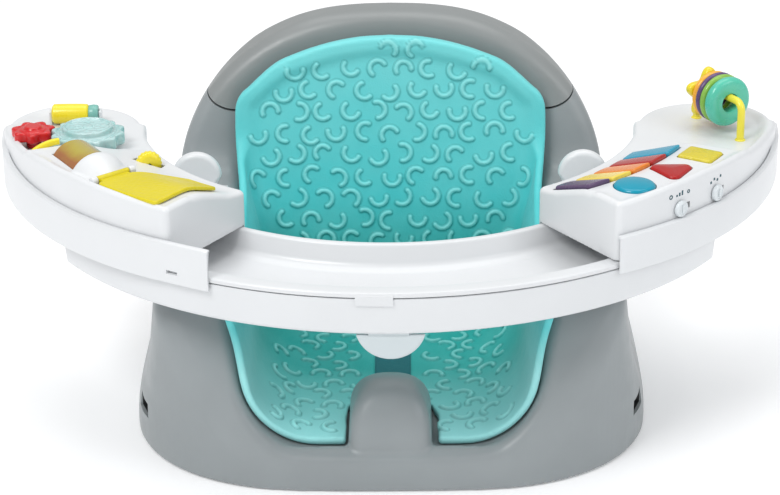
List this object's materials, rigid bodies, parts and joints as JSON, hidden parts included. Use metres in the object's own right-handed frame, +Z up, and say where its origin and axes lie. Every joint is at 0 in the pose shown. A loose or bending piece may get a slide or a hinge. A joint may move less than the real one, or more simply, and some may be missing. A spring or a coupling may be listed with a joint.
{
  "type": "baby floor seat",
  "caption": "Moulded floor seat for a baby with a foam liner, a lift-off crescent tray, and sliding pods with gears, drum, flap, piano keys and a bead bar.",
  "frame": {"origin": "bottom centre of the whole part's bounding box, on the floor", "axes": "+Z up, +Y towards the backrest, +X to the viewer's right when the seat is seen from the front"},
  "size_m": [0.6274, 0.408, 0.2738],
  "materials": {
    "shell_grey": "satin moulded plastic",
    "liner_teal": "soft closed-cell foam with embossed arcs",
    "white_plastic": "smooth moulded plastic",
    "yellow_plastic": "smooth moulded plastic",
    "teal_plastic": "smooth moulded plastic",
    "clear_teal": "clear tinted plastic",
    "lime_plastic": "smooth moulded plastic",
    "purple_plastic": "smooth moulded plastic",
    "orange_plastic": "smooth moulded plastic",
    "red_plastic": "smooth moulded plastic",
    "blue_plastic": "smooth moulded plastic",
    "amber_plastic": "clear tinted plastic",
    "steel": "bright zinc-plated steel",
    "rubber_dark": "matt rubber",
    "rubber_pale": "soft silicone",
    "board_green": "coated circuit board",
    "black_plastic": "matt plastic",
    "battery_wrap": "printed sleeve over a steel can"
  },
  "bodies": {
    "seat": {"seat_shell": "shell_grey", "backrest_arch": "shell_grey", "base_plate": "shell_grey", "rubber_feet": "rubber_dark", "base_screws": "steel", "arch_screws": "steel", "foam_liner": "liner_teal"},
    "tray": {"tray_top": "white_plastic", "tray_base": "white_plastic", "tray_screws": "steel", "release_spring": "steel", "latch_pins": "steel", "latch_springs": "steel"},
    "release_tab_body": {"release_tab": "white_plastic"},
    "latch_left_body": {"latch_left": "white_plastic"},
    "latch_right_body": {"latch_right": "white_plastic"},
    "gear_pod": {"gear_pod_cover": "white_plastic", "gear_pod_base": "white_plastic", "gear_pod_screws": "steel", "gear_axles": "steel", "roller_axle": "steel", "drum_axle": "steel", "drum_trim": "yellow_plastic", "wheel_axle": "steel", "flap_pin": "steel"},
    "big_gear_body": {"big_gear": "clear_teal"},
    "red_gear_body": {"red_gear": "red_plastic"},
    "roller_body": {"yellow_roller": "yellow_plastic", "roller_cap": "clear_teal"},
    "drum_body": {"amber_drum": "amber_plastic"},
    "thumb_wheel_body": {"thumb_wheel": "yellow_plastic"},
    "flap_body": {"picture_flap": "yellow_plastic"},
    "piano_pod": {"piano_pod_cover": "white_plastic", "piano_pod_base": "white_plastic", "piano_pod_screws": "steel", "battery_door": "white_plastic", "door_screw": "steel", "batteries": "battery_wrap", "circuit_board": "board_green", "speaker": "black_plastic", "contact_pads": "rubber_pale", "bead_bar": "yellow_plastic"},
    "key_blue_body": {"key_blue": "blue_plastic"},
    "key_red_body": {"key_red": "red_plastic"},
    "key_orange_body": {"key_orange": "orange_plastic"},
    "key_yellow_body": {"key_yellow": "yellow_plastic"},
    "key_purple_body": {"key_purple": "purple_plastic"},
    "button_yellow_body": {"button_yellow": "yellow_plastic"},
    "button_red_body": {"button_red": "red_plastic"},
    "button_blue_body": {"button_blue": "blue_plastic"},
    "volume_switch_body": {"volume_switch": "white_plastic"},
    "mode_switch_body": {"mode_switch": "white_plastic"},
    "ring_teal_body": {"ring_teal": "teal_plastic"},
    "ring_lime_body": {"ring_lime": "lime_plastic"},
    "ring_purple_body": {"ring_purple": "purple_plastic"},
    "ring_orange_body": {"ring_orange": "orange_plastic"},
    "ring_star_body": {"ring_star": "yellow_plastic"}
  },
  "joints": [
    {"name": "tray_lift", "type": "slide", "parent": "seat", "child": "tray", "axis": [0, 0, 1], "range_m": [0, 0.06]},
    {"name": "gear_pod_slide", "type": "hinge", "parent": "tray", "child": "gear_pod", "pos_m": [0, 0.094, 0.2], "axis": [0, 0, 1], "range_deg": [0, 28]},
    {"name": "piano_pod_slide", "type": "hinge", "parent": "tray", "child": "piano_pod", "pos_m": [0, 0.094, 0.2], "axis": [0, 0, 1], "range_deg": [-28, 0]},
    {"name": "latch_left_pivot", "type": "hinge", "parent": "tray", "child": "latch_left_body", "pos_m": [-0.1522, 0.02, 0.156], "axis": [-1, 0, 0], "range_deg": [0, 15], "stiffness_Nm_per_rad": 0.3, "springref_deg": -11.46},
    {"name": "latch_right_pivot", "type": "hinge", "parent": "tray", "child": "latch_right_body", "pos_m": [0.1522, 0.02, 0.156], "axis": [-1, 0, 0], "range_deg": [0, 15], "stiffness_Nm_per_rad": 0.3, "springref_deg": -11.46},
    {"name": "release_press", "type": "slide", "parent": "tray", "child": "release_tab_body", "axis": [0, 1, 0], "range_m": [0, 0.0048], "stiffness_N_per_m": 300, "springref_m": -0.002},
    {"name": "big_gear_spin", "type": "hinge", "parent": "gear_pod", "child": "big_gear_body", "pos_m": [-0.2355, 0.013, 0.217], "axis": [0, 0, 1], "continuous": true},
    {"name": "red_gear_spin", "type": "hinge", "parent": "gear_pod", "child": "red_gear_body", "pos_m": [-0.2792, 0.019, 0.218], "axis": [0, 0, 1], "continuous": true},
    {"name": "roller_spin", "type": "hinge", "parent": "gear_pod", "child": "roller_body", "pos_m": [-0.252, 0.071, 0.2156], "axis": [1, 0, 0], "continuous": true},
    {"name": "drum_spin", "type": "hinge", "parent": "gear_pod", "child": "drum_body", "pos_m": [-0.23156, -0.04679, 0.211], "axis": [-0.5195, 0.8545, 0], "continuous": true},
    {"name": "thumb_wheel_spin", "type": "hinge", "parent": "gear_pod", "child": "thumb_wheel_body", "pos_m": [-0.1845, -0.0265, 0.2095], "axis": [0.2588, 0.9659, 0], "continuous": true},
    {"name": "flap_hinge", "type": "hinge", "parent": "gear_pod", "child": "flap_body", "pos_m": [-0.19822, -0.08637, 0.2255], "axis": [-0.7396, -0.673, 0], "range_deg": [0, 110]},
    {"name": "key_purple_press", "type": "slide", "parent": "piano_pod", "child": "key_purple_body", "axis": [0, 0, -1], "range_m": [0, 0.0022], "stiffness_N_per_m": 300, "springref_m": -0.002},
    {"name": "key_yellow_press", "type": "slide", "parent": "piano_pod", "child": "key_yellow_body", "axis": [0, 0, -1], "range_m": [0, 0.0022], "stiffness_N_per_m": 300, "springref_m": -0.002},
    {"name": "key_orange_press", "type": "slide", "parent": "piano_pod", "child": "key_orange_body", "axis": [0, 0, -1], "range_m": [0, 0.0022], "stiffness_N_per_m": 300, "springref_m": -0.002},
    {"name": "key_red_press", "type": "slide", "parent": "piano_pod", "child": "key_red_body", "axis": [0, 0, -1], "range_m": [0, 0.0022], "stiffness_N_per_m": 300, "springref_m": -0.002},
    {"name": "key_blue_press", "type": "slide", "parent": "piano_pod", "child": "key_blue_body", "axis": [0, 0, -1], "range_m": [0, 0.0022], "stiffness_N_per_m": 300, "springref_m": -0.002},
    {"name": "button_blue_press", "type": "slide", "parent": "piano_pod", "child": "button_blue_body", "axis": [0, 0, -1], "range_m": [0, 0.0022], "stiffness_N_per_m": 300, "springref_m": -0.002},
    {"name": "button_red_press", "type": "slide", "parent": "piano_pod", "child": "button_red_body", "axis": [0, 0, -1], "range_m": [0, 0.0022], "stiffness_N_per_m": 300, "springref_m": -0.002},
    {"name": "button_yellow_press", "type": "slide", "parent": "piano_pod", "child": "button_yellow_body", "axis": [0, 0, -1], "range_m": [0, 0.0022], "stiffness_N_per_m": 300, "springref_m": -0.002},
    {"name": "volume_switch_slide", "type": "slide", "parent": "piano_pod", "child": "volume_switch_body", "axis": [0.7371, 0.6758, 0], "range_m": [0, 0.008]},
    {"name": "mode_switch_slide", "type": "slide", "parent": "piano_pod", "child": "mode_switch_body", "axis": [0.6274, 0.7787, 0], "range_m": [0, 0.008]},
    {"name": "ring_teal_spin", "type": "hinge", "parent": "piano_pod", "child": "ring_teal_body", "pos_m": [0.26607, 0.04162, 0.23315], "axis": [-0.4695, 0.8829, 0], "continuous": true},
    {"name": "ring_lime_spin", "type": "hinge", "parent": "piano_pod", "child": "ring_lime_body", "pos_m": [0.26217, 0.04895, 0.23315], "axis": [-0.4695, 0.8829, 0], "continuous": true},
    {"name": "ring_purple_spin", "type": "hinge", "parent": "piano_pod", "child": "ring_purple_body", "pos_m": [0.25936, 0.05425, 0.23315], "axis": [-0.4695, 0.8829, 0], "continuous": true},
    {"name": "ring_orange_spin", "type": "hinge", "parent": "piano_pod", "child": "ring_orange_body", "pos_m": [0.25635, 0.0599, 0.23315], "axis": [-0.4695, 0.8829, 0], "continuous": true},
    {"name": "ring_star_spin", "type": "hinge", "parent": "piano_pod", "child": "ring_star_body", "pos_m": [0.25269, 0.06679, 0.23315], "axis": [-0.4695, 0.8829, 0], "continuous": true}
  ],
  "couplings": [
    {"joint": "red_gear_spin", "follows": "big_gear_spin", "ratio": -1.7143}
  ]
}
